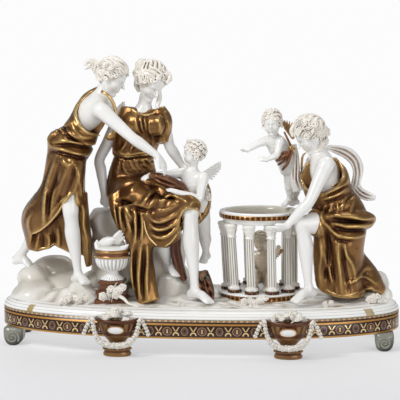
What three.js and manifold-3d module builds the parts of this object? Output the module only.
// Porcelain figure group: three maidens and three cupids round a colonnaded cage, on rocky ground, on an
// oval plinth with scroll feet and basket feet. Each piece is cast in its own moulds and luted to the next.
// Millimetres, +Z up, +X to the viewer's right, -Y towards the viewer. The origin is the middle of the
// plinth's outline, at the height of the surface that the feet stand on.

import * as THREE from "three";
import { mergeVertices } from "three/addons/utils/BufferGeometryUtils.js";
import Module from "manifold-3d";

const wasm = await Module();
wasm.setup();

// Driving sizes. Where two pieces meet, the later one is cut back by the gap.
const GAP = 0.35;
const PLINTH = { halfLength: 240, halfDepth: 99, power: 2.2, sides: 32, bandBottom: 21, bandTop: 44, top: 49 };
const GROUND = { edge: 13.5, shoulder: 19.5, top: 54 };
const HEAD = 43; // height of a maiden's head, the module of her body
const CHILD_HEAD = 31; // of the two large cupids
const CAGED_HEAD = 23; // of the cupid in the cage
const CAGE = { x: 72, y: 6, columns: 10, phase: -13.5, shaft: 5.2, floorTop: 63, sides: 20 };
const CAGE_RIM = { outer: 49.5, inner: 39, bottom: 146, top: 160 };
const COLUMN_FOOT = { x: 73.5, ring: 39.5 };
const COLUMN_HEAD = { x: 70.5, ring: 42 };
const BRAZIER = { x: -101, y: -45, rim: 21, rimTop: 118, stem: 7, stemFoot: 81, block: 16, blockFoot: 19 };
const BASKETS = [
  { name: "front_left", x: -89, y: -93.5 },
  { name: "front_right", x: 109, y: -93.5 },
  { name: "back_left", x: -99, y: 93.5 },
  { name: "back_right", x: 99, y: 93.5 },
];
const SCROLL_FOOT = { x: 219, y: 38, width: 26, roll: 10.5 };

const UP = [0, 0, 1];
const PORCELAIN = { color: 0xf1f0ec, roughness: 0.15, metalness: 0 };
const BISQUE = { color: 0xe6dfd0, roughness: 0.4, metalness: 0 };
const CELADON = { color: 0xa9aba0, roughness: 0.2, metalness: 0 };
const GILDING = { color: 0x8a5a24, roughness: 0.35, metalness: 0.5 };

const mix = (a, b, t) => a.map((value, i) => value + (b[i] - value) * t);

function solid(geometry) {
  const bare = geometry.clone();
  bare.deleteAttribute("normal");
  bare.deleteAttribute("uv");
  const merged = mergeVertices(bare, 1e-4);
  return new wasm.Manifold(
    new wasm.Mesh({
      numProp: 3,
      vertProperties: merged.attributes.position.array,
      triVerts: new Uint32Array(merged.index.array),
    }),
  );
}

const join = (solids) => wasm.Manifold.union(solids);

// A closed solid through rings of points, which all run the same way round, with a point at each end.
function skin(rings, first, last) {
  const sides = rings[0].length;
  const index = [];
  const tips = rings.length * sides;
  for (let i = 0; i < rings.length - 1; i++)
    for (let j = 0; j < sides; j++) {
      const a = i * sides + j;
      const b = i * sides + ((j + 1) % sides);
      index.push(a, b, b + sides, a, b + sides, a + sides);
    }
  for (let j = 0; j < sides; j++) {
    const k = (j + 1) % sides;
    index.push(tips, k, j, tips + 1, tips - sides + j, tips - sides + k);
  }
  const made = new THREE.BufferGeometry();
  const positions = [...rings.flat(), first, last].flatMap((p) => [p.x, p.y, p.z]);
  made.setAttribute("position", new THREE.Float32BufferAttribute(positions, 3));
  made.setIndex(index);
  return solid(made);
}

// A profile carried along a path of stations [x, y, z, thick, wide]: half sizes across the path and along
// "side". With "level" given, every ring is square to it. Folds are that many ridges with a valley between
// each two, "depth" mm up and down, which deepen along the path. "tips" is how far the ends bulge out, as a
// share of the end's thickness.
function loft(stations, { sides = 7, side = [0, 1, 0], level, folds = 0, depth = 0, tips = 0.5, grow = 0 }) {
  const centres = stations.map(([x, y, z]) => new THREE.Vector3(x, y, z));
  const last = stations.length - 1;
  const count = folds ? folds * 2 : sides;
  const along = centres.map((_, i) =>
    level
      ? new THREE.Vector3(...level).multiplyScalar(Math.sign(centres[last].z - centres[0].z)).normalize()
      : centres[Math.min(i + 1, last)].clone().sub(centres[Math.max(i - 1, 0)]).normalize(),
  );
  const rings = stations.map(([, , , thick, wide], i) => {
    const v = new THREE.Vector3(...side);
    v.addScaledVector(along[i], -along[i].dot(v)).normalize();
    const u = v.clone().cross(along[i]);
    const deepen = 0.25 + (0.75 * i) / last;
    return Array.from({ length: count }, (_, j) => {
      const angle = (j / count) * Math.PI * 2;
      const ridge = grow + (folds ? (j % 2 ? -depth : depth) * deepen : 0);
      return centres[i]
        .clone()
        .addScaledVector(u, Math.cos(angle) * (thick + ridge))
        .addScaledVector(v, Math.sin(angle) * (wide + ridge));
    });
  });
  const tip = (i, way) => {
    const reach = grow + tips * Math.min(stations[i][3], stations[i][4]);
    return centres[i].clone().addScaledVector(along[i], way * reach);
  };
  return skin(rings, tip(0, -1), tip(last, 1));
}

// An egg: half sizes along "facing", along "side" and across both.
function egg(centre, [long, broad, high], facing, side, grow, [around, down] = [7, 4]) {
  const made = new THREE.SphereGeometry(1, around, down);
  made.scale(long + grow, broad + grow, high + grow);
  const x = new THREE.Vector3(...facing).normalize();
  const y = new THREE.Vector3(...side);
  y.addScaledVector(x, -x.dot(y)).normalize();
  made.applyMatrix4(new THREE.Matrix4().makeBasis(x, y, x.clone().cross(y)).setPosition(...centre));
  return solid(made);
}

// A turned shape: [radius, height] pairs from the middle of the bottom to the middle of the top.
function turned(profile, sides, x, y, grow) {
  const heights = profile.map(([, z]) => z);
  const [low, high] = [Math.min(...heights), Math.max(...heights)];
  const outset = (z) => (z === low ? -grow : 0) + (z === high ? grow : 0);
  const points = profile.map(([r, z]) => new THREE.Vector2(r ? r + grow : 0, z + outset(z)));
  const made = new THREE.LatheGeometry(points, sides);
  made.rotateX(Math.PI / 2);
  made.translate(x, y, 0);
  return solid(made);
}

// A limb through its joints, with half widths as shares of the head's height.
function limb(points, girths, size, grow) {
  const stations = points.map((point, i) => [...point, girths[i] * size, girths[i] * size]);
  return loft(stations, { sides: 5, side: [0.2, 0.9, 0.4], tips: 0.35, grow });
}

// An arm with a mitten hand.
function arm({ shoulder, elbow, wrist, tip }, size, grow) {
  const points = [shoulder, elbow, wrist, mix(wrist, tip, 0.45), tip];
  return limb(points, [0.2, 0.145, 0.1, 0.11, 0.05], size, grow);
}

// A leg down to its toes. A thigh that a skirt hides has no hip.
function leg({ hip, knee, ankle, toe }, size, grow) {
  const points = [knee, mix(knee, ankle, 0.32), ankle, mix(ankle, toe, 0.55), toe];
  const girths = [0.24, 0.25, 0.13, 0.12, 0.08];
  return hip ? limb([hip, ...points], [0.36, ...girths], size, grow) : limb(points, girths, size, grow);
}

// A bare body by its joints, with an egg for the skull and one for each mass of hair. "across" runs from one
// shoulder to the other, and "plump" thickens a child's trunk and limbs.
function body({ head, plump = 1, spine, across, skull, face, arms, legs, hair }, grow) {
  const size = head * plump;
  const sides = head === HEAD ? 6 : 5;
  const { pelvis, waist, chest, neck } = spine;
  const trunk = [
    [...pelvis, 0.36 * size, 0.46 * size],
    [...waist, 0.34 * size, 0.4 * size],
    [...chest, 0.4 * size, 0.52 * size],
    [...mix(chest, neck, 0.8), 0.3 * size, 0.46 * size],
    [...neck, 0.2 * head, 0.24 * head],
    [...mix(neck, skull, 0.7), 0.17 * head, 0.17 * head],
  ];
  return join([
    loft(trunk, { sides: sides + 1, side: across, grow }),
    egg(skull, [0.42 * head, 0.34 * head, 0.5 * head], face, across, grow, [sides + 1, 4]),
    ...hair.map(([centre, radii]) => egg(centre, radii, face, across, grow, [sides, 3])),
    ...arms.map((joints) => arm(joints, size, grow)),
    ...legs.map((joints) => leg(joints, size, grow)),
  ]);
}

// A wing: a flat leaf from its root to its tip.
function wing(root, tip, breadth, side, grow) {
  const thin = breadth * 0.28;
  const stations = [
    [...root, thin, breadth * 0.5],
    [...mix(root, tip, 0.5), thin, breadth],
    [...tip, thin * 0.5, breadth * 0.3],
  ];
  return loft(stations, { sides: 4, side, grow });
}

// The standing maiden bends forward to the right, with one arm held out and the other at her sister's
// shoulder. Her near leg shows through the slit of the skirt, and her far foot is up on the rock.
function standingMaiden(grow) {
  const figure = {
    head: HEAD,
    spine: {
      pelvis: [-157, -14, 235], waist: [-148, -14, 256], chest: [-129, -14, 278], neck: [-116, -14, 298],
    },
    across: [-0.25, 1, 0],
    skull: [-104, -14, 323],
    face: [0.86, 0.05, -0.5],
    arms: [
      { shoulder: [-114, -36, 281], elbow: [-76, -50, 250], wrist: [-47, -47, 229], tip: [-33, -43, 208] },
      { shoulder: [-114, 10, 284], elbow: [-104, 24, 264], wrist: [-97, 15, 282], tip: [-92, 8, 287] },
    ],
    legs: [
      { hip: [-153, -30, 214], knee: [-150, -42, 163], ankle: [-144, -38, 84], toe: [-131, -50, 76] },
      { knee: [-184, 6, 156], ankle: [-224, 12, 98], toe: [-208, 7, 87] },
    ],
    hair: [
      [[-110, -14, 332], [18.5, 17.5, 14.5]],
      [[-124, -14, 323], [10, 12, 12]],
      [[-131, -14, 340], [7, 5, 7]],
    ],
  };
  // The bodice blouses out to a level hem over the hips, above the skirt, which billows out behind her.
  const gown = [
    [-122, -14, 286, 20, 26], [-132, -14, 271, 28, 29], [-150, -14, 248, 34, 32], [-154, -14, 233, 32, 31],
    [-161, -13, 225, 24, 27], [-165, -11, 185, 27, 29], [-174, -5, 153, 39, 33], [-171, 1, 108, 38, 30],
  ];
  const fall = [[-142, -24, 165, 8, 11], [-138, -20, 125, 8, 12], [-137, -16, 95, 6, 9]];
  return join([
    body(figure, grow),
    loft(gown, { folds: 8, depth: 2.4, level: UP, tips: 0.1, grow }),
    loft(fall, { sides: 5, side: [1, 0, 0], level: UP, grow }),
  ]);
}

// The seated maiden turns to the child at her lap. One hand leans on the rock, and one shin is bare.
function seatedMaiden(grow) {
  const figure = {
    head: HEAD,
    spine: { pelvis: [-83, 19, 190], waist: [-82, 12, 224], chest: [-73, 7, 256], neck: [-68, 4, 281] },
    across: [0.97, 0.25, 0],
    skull: [-58, -3, 313],
    face: [0.5, -0.6, -0.62],
    arms: [
      { shoulder: [-95, 8, 274], elbow: [-124, 14, 219], wrist: [-117, 4, 175], tip: [-110, -4, 162] },
      { shoulder: [-47, 6, 270], elbow: [-37, 4, 236], wrist: [-22, 9, 211], tip: [-12, 6, 200] },
    ],
    legs: [
      { knee: [-9, -38, 161], ankle: [-2, -50, 70], toe: [18, -67, 58] },
      { knee: [-44, -30, 130], ankle: [-37, -16, 94], toe: [-24, -34, 84] },
    ],
    hair: [
      [[-60, 1, 324], [20, 18.5, 14.5]],
      [[-74, 6, 310], [10, 12, 12]],
      [[-70, 5, 337], [9, 8, 9]],
    ],
  };
  const across = { side: [1, 0.2, 0], level: UP };
  const bodice = [
    [-70, 6, 279, 13, 26], [-72, 5, 262, 19, 30], [-80, 9, 233, 19, 29], [-82, 13, 220, 17, 24],
    [-84, 20, 182, 30, 35],
  ];
  const sleeve = [[-42, 5, 275, 10, 11], [-38, 4, 257, 13, 13], [-37, 3, 240, 10, 10]];
  const farThigh = [[-84, 16, 184, 21, 22], [-46, -12, 178, 19, 20], [-12, -35, 168, 15, 16]];
  const nearThigh = [[-97, 10, 182, 19, 19], [-74, -20, 177, 18, 18], [-50, -40, 164, 15, 16]];
  const swag = [
    [-41, -34, 172, 16, 34], [-41, -38, 152, 15, 32],
    [-44, -41, 134, 12, 23], [-46, -42, 121, 7, 12],
  ];
  const tail = [[-97, -20, 176, 8, 11], [-96, -26, 140, 8, 10]];
  const fall = [
    [-78, -33, 168, 14, 19], [-73, -40, 124, 13, 16],
    [-67, -47, 82, 12, 15], [-65, -55, 55, 8, 15],
  ];
  const heap = [[-3, -14, 96, 8, 8], [6, -18, 76, 10, 10], [12, -24, 58, 9, 12]];
  return join([
    body(figure, grow),
    loft(bodice, { ...across, folds: 6, depth: 1.6, tips: 0.2, grow }),
    loft(sleeve, { sides: 6, grow }),
    loft(farThigh, { sides: 6, grow }),
    loft(nearThigh, { sides: 6, grow }),
    loft(swag, { ...across, folds: 5, depth: 1.8, grow }),
    loft(tail, { ...across, sides: 5, grow }),
    loft(fall, { ...across, folds: 4, depth: 2, grow }),
    loft(heap, { sides: 5, grow }),
  ]);
}

// The kneeling maiden bends over the cage with a hand on a column, one bare knee up and the other leg
// trailing on the ground. Her veil blows out from the nape and comes back to the hip.
function kneelingMaiden(grow) {
  const figure = {
    head: HEAD,
    spine: { pelvis: [170, -2, 140], waist: [161, -4, 172], chest: [150, -7, 205], neck: [143, -8, 230] },
    across: [-0.1, -1, 0],
    skull: [131, -11, 252],
    face: [-0.78, -0.2, -0.6],
    arms: [
      { shoulder: [151, -31, 218], elbow: [132, -46, 176], wrist: [106, -50, 148], tip: [85, -49, 140] },
      { shoulder: [138, 18, 218], elbow: [122, 30, 193], wrist: [111, 34, 201], tip: [104, 32, 208] },
    ],
    legs: [
      { hip: [160, -18, 140], knee: [124, -42, 148], ankle: [132, -48, 73], toe: [114, -65, 60] },
      { knee: [176, 0, 80], ankle: [208, 18, 60], toe: [224, 20, 55] },
    ],
    hair: [
      [[137, -11, 259], [19, 17.5, 14.5]],
      [[150, -10, 252], [10, 12, 12]],
    ],
  };
  // The bodice is girt under the shoulder blades, and rolls of cloth lie round the hips above the skirt.
  const gown = [
    [146, -7, 216, 20, 25], [149, -7, 202, 29, 27], [154, -6, 185, 29, 27], [161, -5, 169, 26, 26],
    [173, -3, 152, 36, 31], [173, -3, 138, 35, 32], [168, -5, 112, 28, 30], [173, -8, 57, 28, 31],
  ];
  const thigh = [[162, -14, 145, 17, 18], [144, -28, 151, 15, 16], [134, -36, 151, 12, 13]];
  const trail = [[184, 2, 96, 19, 20], [202, 6, 78, 16, 20], [217, 10, 62, 9, 14]];
  const veil = [
    [145, 2, 237, 5, 9], [161, 8, 242, 6, 11], [179, 13, 236, 7, 12], [192, 16, 219, 7, 12], [193, 16, 202, 6, 11],
    [181, 6, 178, 4, 8],
  ];
  const veilEnd = [[187, 10, 184, 4, 8], [209, 10, 177, 6, 11]];
  return join([
    body(figure, grow),
    loft(gown, { folds: 8, depth: 2.2, level: UP, tips: 0.1, grow }),
    loft(thigh, { sides: 6, grow }),
    loft(trail, { sides: 6, grow }),
    loft(veil, { sides: 5, grow }),
    loft(veilEnd, { sides: 5, grow }),
  ]);
}

// The cupid at the seated maiden's knee reaches up to her, on one leg, with a cloth and garland at his hip.
function lapCupid(grow) {
  const figure = {
    head: CHILD_HEAD,
    plump: 1.08,
    spine: { pelvis: [-1, -8, 165], waist: [-3, -14, 180], chest: [-6, -18, 194], neck: [-9, -20, 209] },
    across: [0.45, -0.9, 0],
    skull: [-6, -22, 230],
    face: [-0.92, -0.35, -0.05],
    arms: [
      { shoulder: [6, -27, 201], elbow: [2, -36, 177], wrist: [-25, -44, 186], tip: [-36, -47, 190] },
      { shoulder: [-18, -10, 205], elbow: [-38, -22, 204], wrist: [-56, -30, 204], tip: [-67, -36, 200] },
    ],
    legs: [{ hip: [1, -6, 158], knee: [5, 2, 134], ankle: [7, 4, 106], toe: [4, -5, 96] }],
    hair: [[[2, -19, 234], [15, 14, 12]]],
  };
  const cloth = [[5, -14, 177, 8, 11], [10, -12, 161, 8, 12], [9, -8, 147, 5, 8]];
  return join([
    body(figure, grow),
    wing([6, -10, 203], [29, 8, 219], 9, [0.5, 0.1, -0.8], grow),
    loft(cloth, { sides: 6, side: [1, 0, 0], level: UP, grow }),
  ]);
}

// The cupid on the cage's rim holds both arms out over it.
function rimCupid(grow) {
  const figure = {
    head: CHILD_HEAD,
    spine: { pelvis: [104, 25, 207], waist: [99, 22, 220], chest: [90, 19, 233], neck: [87, 16, 245] },
    across: [0.95, 0.3, 0],
    skull: [86, 12, 265],
    face: [-0.1, -0.97, -0.2],
    arms: [
      { shoulder: [78, 12, 243], elbow: [62, 5, 238], wrist: [48, -1, 234], tip: [38, -4, 237] },
      { shoulder: [97, 12, 242], elbow: [92, 4, 226], wrist: [80, -3, 221], tip: [70, -6, 223] },
    ],
    legs: [
      { hip: [103, 24, 203], knee: [107, 25, 184], ankle: [105, 31, 168], toe: [99, 24, 163.5] },
      { hip: [109, 30, 203], knee: [115, 33, 184], ankle: [112, 36, 168], toe: [107, 30, 163.5] },
    ],
    hair: [[[86, 16, 269], [14, 14, 12]]],
  };
  const cloth = [[112, 26, 236, 6, 8], [114, 26, 212, 7, 10], [113, 27, 186, 5, 8]];
  return join([
    body(figure, grow),
    wing([96, 26, 238], [113, 34, 262], 9, [0.8, 0, -0.5], grow),
    wing([86, 27, 238], [84, 42, 264], 9, [0.9, 0, 0.2], grow),
    loft(cloth, { sides: 6, side: [1, 0, 0], level: UP, grow }),
  ]);
}

// The cupid in the cage crouches behind the front columns.
function cagedCupid(grow) {
  const figure = {
    head: CAGED_HEAD,
    plump: 1.15,
    spine: { pelvis: [76, -2, 80], waist: [76, -3, 91], chest: [76, -5, 101], neck: [75, -6, 109] },
    across: [1, 0, 0],
    skull: [73, -9, 124],
    face: [-0.15, -0.95, 0.1],
    arms: [
      { shoulder: [68, -6, 106], elbow: [61, -10, 97], wrist: [66, -16, 90], tip: [70, -18, 88] },
      { shoulder: [84, -6, 106], elbow: [92, -9, 108], wrist: [95, -14, 115], tip: [97, -18, 120] },
    ],
    legs: [
      { hip: [71, -4, 80], knee: [65, -17, 83], ankle: [68, -18, 69], toe: [65, -25, 66] },
      { hip: [81, -4, 80], knee: [86, -16, 82], ankle: [82, -18, 69], toe: [80, -25, 66] },
    ],
    hair: [[[73, -6, 127], [10.5, 10.5, 9]]],
  };
  return join([
    body(figure, grow),
    wing([84, 3, 104], [99, 6, 111], 6, [0.4, 0, -0.9], grow),
    wing([68, 4, 104], [56, 10, 111], 6, [0.4, 0, 0.9], grow),
  ]);
}

// The plinth's oval, drawn in by a distance, at a height.
function oval(inset, z) {
  const { halfLength, halfDepth, power, sides } = PLINTH;
  const bend = (value) => Math.sign(value) * Math.abs(value) ** (2 / power);
  return Array.from({ length: sides }, (_, j) => {
    const angle = (j / sides) * Math.PI * 2;
    const [c, s] = [bend(Math.cos(angle)), bend(Math.sin(angle))];
    return new THREE.Vector3(c * (halfLength - inset), s * (halfDepth - inset), z);
  });
}

function plinth(grow) {
  const { bandBottom, bandTop, top } = PLINTH;
  const rings = [
    oval(3 - grow, bandBottom - grow), oval(-grow, bandBottom + 2), oval(-grow, bandTop - 1),
    oval(6.5 - grow, bandTop + 0.6), oval(12 - grow, top + grow),
  ];
  return skin(rings, new THREE.Vector3(0, 0, bandBottom - grow), new THREE.Vector3(0, 0, top + grow));
}

// A roll on the floor with a flat under it, and a neck that widens up to the plinth.
function scrollFoot(endWay, rowWay, grow) {
  const { x, y, width, roll } = SCROLL_FOOT;
  const flat = 0.34; // half of the angle that the flat takes of the roll
  const top = PLINTH.bandBottom - GAP + grow;
  const radius = roll + grow;
  const centre = roll * Math.cos(flat);
  const shape = new THREE.Shape();
  shape.moveTo(-15 - grow, top);
  shape.absarc(0, centre, radius, Math.PI * 0.86, Math.PI * 1.5 - flat, false);
  shape.absarc(0, centre, radius, Math.PI * 1.5 + flat, Math.PI * 2.06, false);
  shape.lineTo(12 + grow, top);
  shape.closePath();
  const along = { depth: width + 2 * grow, bevelEnabled: false, curveSegments: 5 };
  const made = new THREE.ExtrudeGeometry(shape, along);
  made.translate(0, 0, -width / 2 - grow);
  made.rotateX(Math.PI / 2);
  if (endWay > 0) made.rotateZ(Math.PI);
  made.translate(endWay * x, rowWay * y, 0);
  return solid(made);
}

// A flared basket on a ring foot, heaped with flowers. The two in front hang a garland on either side.
function basket({ x, y }, grow) {
  const across = { side: [1, 0, 0], level: UP, tips: 0, grow };
  const front = Math.sign(y);
  const bowl = [
    [x, y, 0, 13.5, 16.5], [x, y, 5, 13.5, 16.5], [x, y, 9, 8.5, 10], [x, y, 14, 12, 15.5], [x, y, 30, 16, 22.5],
    [x, y, 46, 18, 26.5],
  ];
  const parts = [
    loft(bowl, { ...across, sides: 10 }),
    egg([x, y + front * 3, 48], [16, 9, 9], [1, 0, 0], [0, 1, 0], grow),
  ];
  if (front < 0)
    for (const way of [-1, 1]) {
      const garland = [[x + way * 29, y - 3, 41], [x + way * 22, y - 13, 24], [x, y - 14, 11]];
      parts.push(loft(garland.map((spot) => [...spot, 3.4, 3.4]), { sides: 4, grow }));
    }
  return join(parts);
}

function cageFloor(grow) {
  const bottom = GROUND.top - 2;
  const profile = [
    [0, bottom], [51.5, bottom], [51.5, CAGE.floorTop - 1.5], [50, CAGE.floorTop], [0, CAGE.floorTop],
  ];
  return turned(profile, CAGE.sides, CAGE.x, CAGE.y, grow);
}

// The rim is a ring with an open middle, so its profile closes on itself.
function cageRim(grow) {
  const { outer, inner, bottom, top } = CAGE_RIM;
  const [wide, bore] = [outer + grow, inner - grow];
  const points = [
    [bore, bottom - grow], [wide - 3, bottom - grow], [wide, bottom + 4],
    [wide, top - 2.5], [wide - 1.5, top + grow],
    [bore, top + grow], [bore, bottom - grow],
  ].map(([r, z]) => new THREE.Vector2(r, z));
  const made = new THREE.LatheGeometry(points, CAGE.sides);
  made.rotateX(Math.PI / 2);
  made.translate(CAGE.x, CAGE.y, 0);
  return solid(made);
}

// The columns lean out a little, on a wider ring at the rim than at the floor.
function column(i, grow) {
  const angle = THREE.MathUtils.degToRad(CAGE.phase + (i * 360) / CAGE.columns);
  const spot = ({ x, ring }) => [x + ring * Math.sin(angle), CAGE.y - ring * Math.cos(angle)];
  const [foot, head] = [spot(COLUMN_FOOT), spot(COLUMN_HEAD)];
  const [low, high] = [CAGE.floorTop + GAP, CAGE_RIM.bottom - GAP];
  const r = CAGE.shaft;
  const steps = [
    [low, r + 2.2], [low + 4, r + 1.6], [low + 7, r],
    [high - 12, r * 0.92], [high - 2, r + 1.8], [high, r + 1.8],
  ];
  const stations = steps.map(([z, radius]) => {
    const t = (z - low) / (high - low);
    return [...mix(foot, head, t), z, radius, radius];
  });
  return loft(stations, { sides: 7, level: UP, tips: 0, grow });
}

function brazierBlock(grow) {
  const { x, y, block, blockFoot, stemFoot } = BRAZIER;
  const top = stemFoot - GAP;
  const slab = (half, low, high) => {
    const made = new THREE.BoxGeometry(2 * (half + grow), 2 * (half + grow), high - low + 2 * grow);
    made.translate(x, y, (low + high) / 2);
    return solid(made);
  };
  return join([slab(blockFoot, GROUND.top - 2, 62), slab(block, 61, top - 5), slab(block + 1.5, top - 5.5, top)]);
}

function brazier(grow) {
  const { x, y, rim, rimTop, stem, stemFoot } = BRAZIER;
  const profile = [
    [0, stemFoot], [stem + 6, stemFoot], [stem, stemFoot + 5], [stem, stemFoot + 10], [rim - 4, rimTop - 18],
    [rim, rimTop - 8], [rim, rimTop], [0, rimTop],
  ];
  return turned(profile, 12, x, y, grow);
}

// Two billing doves on a nest, on the brazier's bowl.
function doves(grow) {
  const { x, y, rimTop } = BRAZIER;
  const floor = rimTop + GAP;
  const parts = [turned([[0, floor], [19, floor], [17, floor + 4], [0, floor + 6]], 8, x, y, grow)];
  for (const way of [-1, 1])
    parts.push(
      egg([x + way * 9, y, rimTop + 8], [11, 7, 7.5], [way, 0.1, 0.35], [0, 1, 0], grow, [6, 3]),
      egg([x - way, y - 2 * way, rimTop + 16], [4.6, 3.8, 4], [way, 0, -0.2], [0, 1, 0], grow, [5, 3]),
      wing(
        [x + way * 8, y - 5 * way, rimTop + 8], [x + way * 17, y - 6 * way, rimTop + 22],
        6, [0.8, 0, 0.3], grow,
      ),
    );
  return join(parts);
}

// A spray of blooms from one place to another, heaped a little in the middle.
function spray(from, to, heads, radius, grow) {
  const blooms = Array.from({ length: heads }, (_, i) => {
    const t = i / (heads - 1);
    const [x, y, z] = mix(from, to, t);
    const sway = (i % 2 ? -1 : 1) * radius * 0.25;
    const centre = [x, y + sway, z + Math.sin(t * Math.PI) * radius * 0.7];
    return egg(centre, [radius, radius, radius * 0.8], UP, [1, 0, 0], grow, [5, 3]);
  });
  return join(blooms);
}

// Height of the rocky ground: flat at the edge, with knolls [x, y, half length, half depth, height] on it.
function groundHeight(x, y) {
  const knolls = [
    [-212, 12, 26, 34, 26], [-165, 5, 48, 48, 10], [-142, -40, 24, 18, 12], [-60, 12, 120, 46, 12],
    [-30, -18, 22, 18, 14], [214, 34, 22, 30, 14],
  ];
  const ripple = 1.6 * Math.sin(x * 0.075 + 0.6) * Math.sin(y * 0.11 + 1.1);
  return knolls.reduce((sum, [cx, cy, rx, ry, height]) => {
    const away = Math.hypot((x - cx) / rx, (y - cy) / ry);
    return sum + height / (1 + Math.exp(5 * (away - 1)));
  }, GROUND.top + ripple);
}

function ground(grow) {
  const bottom = PLINTH.top + GAP - grow;
  const rings = [oval(GROUND.edge - grow, bottom), oval(GROUND.shoulder - 1 - grow, GROUND.top - 1)];
  for (const share of [0.96, 0.75, 0.45])
    rings.push(
      oval(GROUND.shoulder, 0).map((p) => {
        const [x, y] = [p.x * share, p.y * share];
        return new THREE.Vector3(x, y, groundHeight(x, y) + grow);
      }),
    );
  const mound = skin(rings, new THREE.Vector3(0, 0, bottom), new THREE.Vector3(0, 0, groundHeight(0, 0) + grow));
  const seat = [[-78, 24, 51, 34, 66], [-79, 24, 100, 29, 56], [-76, 24, 160, 26, 60]];
  return join([mound, loft(seat, { sides: 8, side: [1, 0, 0], level: UP, tips: 0, grow })]);
}

// Every piece in the order that it is luted on: an earlier piece keeps its shape, and a later one is cut to
// fit it. What a cut leaves loose is left out.
const group = new THREE.Group();
const placed = [];

const touches = (a, b) => [0, 1, 2].every((i) => a.min[i] < b.max[i] && b.min[i] < a.max[i]);

function place(name, look, make) {
  let made = make(0);
  const box = made.boundingBox();
  for (const room of placed) if (touches(box, room.boundingBox())) made = made.subtract(room);
  const [whole] = made.decompose().sort((a, b) => b.volume() - a.volume());
  const { vertProperties, triVerts } = whole.getMesh();
  const geometry = new THREE.BufferGeometry();
  geometry.setAttribute("position", new THREE.Float32BufferAttribute(vertProperties, 3));
  geometry.setIndex(Array.from(triVerts));
  const mesh = new THREE.Mesh(geometry, new THREE.MeshStandardMaterial(look));
  mesh.name = name;
  group.add(mesh);
  placed.push(make(GAP));
}

place("plinth", GILDING, plinth);
for (const [end, endWay] of [["left", -1], ["right", 1]])
  for (const [row, rowWay] of [["front", -1], ["back", 1]])
    place(`scroll_foot_${row}_${end}`, CELADON, (grow) => scrollFoot(endWay, rowWay, grow));
for (const spot of BASKETS) place(`basket_foot_${spot.name}`, GILDING, (grow) => basket(spot, grow));
place("cage_floor", PORCELAIN, cageFloor);
place("cage_rim", PORCELAIN, cageRim);
for (let i = 0; i < CAGE.columns; i++) place(`cage_column_${i + 1}`, PORCELAIN, (grow) => column(i, grow));
place("caged_cupid", PORCELAIN, cagedCupid);
place("rim_cupid", PORCELAIN, rimCupid);
place("kneeling_maiden", GILDING, kneelingMaiden);
place("lap_cupid", PORCELAIN, lapCupid);
place("seated_maiden", GILDING, seatedMaiden);
place("standing_maiden", GILDING, standingMaiden);
place("brazier_block", GILDING, brazierBlock);
place("brazier", PORCELAIN, brazier);
place("doves", PORCELAIN, doves);
place("ground", PORCELAIN, ground);
place("flowers_left", BISQUE, (grow) => spray([-162, -62, 57], [-131, -66, 58], 4, 6.5, grow));
place("flowers_brazier", BISQUE, (grow) => spray([-114, -67, 64], [-88, -67, 67], 4, 7, grow));
place("flowers_cage", BISQUE, (grow) => spray([56, -51, 57], [85, -51, 57], 4, 6.5, grow));
place("flowers_right", BISQUE, (grow) => spray([200, -30, 57], [215, -26, 57], 3, 5.5, grow));

export default group;
